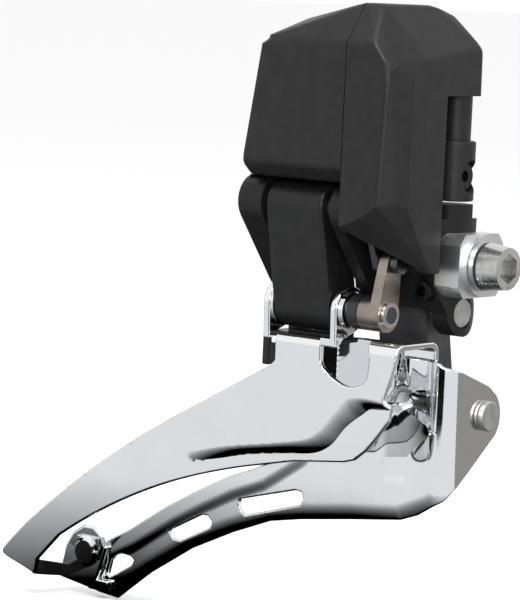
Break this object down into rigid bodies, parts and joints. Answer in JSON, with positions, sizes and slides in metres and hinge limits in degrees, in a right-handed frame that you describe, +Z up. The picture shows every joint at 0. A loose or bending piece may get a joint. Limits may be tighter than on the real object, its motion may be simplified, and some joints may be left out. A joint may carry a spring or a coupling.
{
  "type": "electronic front derailleur",
  "caption": "Motor-driven front derailleur for a braze-on tab: sealed drive unit, parallelogram links, polished cage and a clamp bolt.",
  "frame": {"origin": "where the clamp bolt's axis meets the curved mounting face, against which the frame's tab is held", "axes": "+X forward on the bicycle, along the clamp bolt towards its head; +Y inboard to the seat tube; +Z up"},
  "size_m": [0.1115, 0.0385, 0.1254],
  "materials": {
    "case_plastic": "fine-grained satin black",
    "bracket_black": "satin black coating on cast alloy",
    "link_black": "smooth satin black coating",
    "link_cast": "dark grey coating with a cast grain",
    "cage_chrome": "polished chrome plate",
    "washer_alloy": "satin, blasted sides",
    "bolt_steel": "turned, bright",
    "pin_steel": "ground, bright",
    "dark_steel": "dark nickel",
    "rod_steel": "brownish nickel, stamped edges",
    "spring_steel": "spring temper",
    "black_steel": "black oxide",
    "rivet_black": "black oxide",
    "motor_steel": "drawn can",
    "bronze": "sintered bronze",
    "rubber": "matt black",
    "spacer_black": "matt black acetal",
    "socket_plastic": "matt black",
    "board_green": "solder mask"
  },
  "bodies": {
    "base": {"motor_case": "case_plastic", "rear_cover": "case_plastic", "case_gasket": "rubber", "mount_bracket": "bracket_black", "case_screws": "black_steel", "unit_screws": "black_steel", "upper_pivot_pin": "pin_steel", "inner_pivot_pin": "pin_steel", "inner_pin_clip": "spring_steel", "motor_can": "motor_steel", "motor_gearhead": "motor_steel", "circuit_board": "board_green", "wire_socket": "socket_plastic", "shaft_bush": "bronze", "shaft_seal": "rubber"},
    "washer": {"clamp_washer": "washer_alloy"},
    "bolt": {"clamp_bolt": "bolt_steel", "clamp_seal_ring": "rubber"},
    "support_screw": {"support_bolt": "dark_steel"},
    "low_screw": {"low_adjust_screw": "dark_steel"},
    "drive_arm": {"output_shaft": "pin_steel", "output_gear": "bronze", "output_arm": "dark_steel", "arm_pin": "pin_steel"},
    "pinion": {"motor_pinion": "bronze"},
    "rod": {"drive_rod": "rod_steel", "rod_bush": "bronze"},
    "outer_link": {"outer_link": "link_black", "outer_link_bushes": "bronze"},
    "inner_link": {"inner_link": "link_cast", "inner_link_bushes": "bronze"},
    "cage": {"outer_plate": "cage_chrome", "inner_plate": "cage_chrome", "tail_bridge": "cage_chrome", "tail_rivet": "rivet_black", "web_rivets": "pin_steel", "lower_pivot_pin": "pin_steel", "drive_spacer": "spacer_black", "pin_washer": "dark_steel", "cage_pivot_pin": "pin_steel"}
  },
  "joints": [
    {"name": "link_swing", "type": "hinge", "parent": "base", "child": "outer_link", "pos_m": [-0.024, -0.0185, 0.0099], "axis": [-1, 0, 0], "range_deg": [0, 27]},
    {"name": "inner_swing", "type": "hinge", "parent": "base", "child": "inner_link", "pos_m": [-0.011, 0.0004, -0.0094], "axis": [-1, 0, 0], "range_deg": [-0.5, 27.5]},
    {"name": "cage_level", "type": "hinge", "parent": "outer_link", "child": "cage", "pos_m": [-0.024, -0.0148, -0.0096], "axis": [-1, 0, 0], "range_deg": [-27.5, 0.5]},
    {"name": "arm_turn", "type": "hinge", "parent": "base", "child": "drive_arm", "pos_m": [-0.007, -0.01725, 0.0125], "axis": [-1, 0, 0], "range_deg": [-0.5, 31.5]},
    {"name": "rod_turn", "type": "hinge", "parent": "outer_link", "child": "rod", "pos_m": [-0.009, -0.0148, -0.0096], "axis": [-1, 0, 0], "range_deg": [-13, 0.5]},
    {"name": "pinion_turn", "type": "hinge", "parent": "base", "child": "pinion", "pos_m": [-0.002, -0.01725, 0.0225], "axis": [1, 0, 0], "range_deg": [-1, 73]},
    {"name": "bolt_turn", "type": "hinge", "parent": "washer", "child": "bolt", "pos_m": [0.007, 0, 0], "axis": [1, 0, 0], "range_deg": [-1, 1801]},
    {"name": "washer_back_off", "type": "slide", "parent": "base", "child": "washer", "axis": [1, 0, 0], "range_m": [0, 0.004]},
    {"name": "support_bolt_travel", "type": "slide", "parent": "base", "child": "support_screw", "axis": [0, 1, 0], "range_m": [-0.002, 0.003]},
    {"name": "low_screw_travel", "type": "slide", "parent": "base", "child": "low_screw", "axis": [0, 1, 0], "range_m": [0, 0.0015]}
  ],
  "couplings": [
    {"joint": "inner_swing", "follows": "link_swing", "ratio": 1},
    {"joint": "cage_level", "follows": "link_swing", "ratio": -1},
    {"joint": "arm_turn", "follows": "link_swing", "ratio": 1.1397},
    {"joint": "rod_turn", "follows": "link_swing", "ratio": -0.4659},
    {"joint": "pinion_turn", "follows": "link_swing", "ratio": 2.6593},
    {"joint": "bolt_turn", "follows": "washer_back_off", "rad_per_m": 7854}
  ]
}
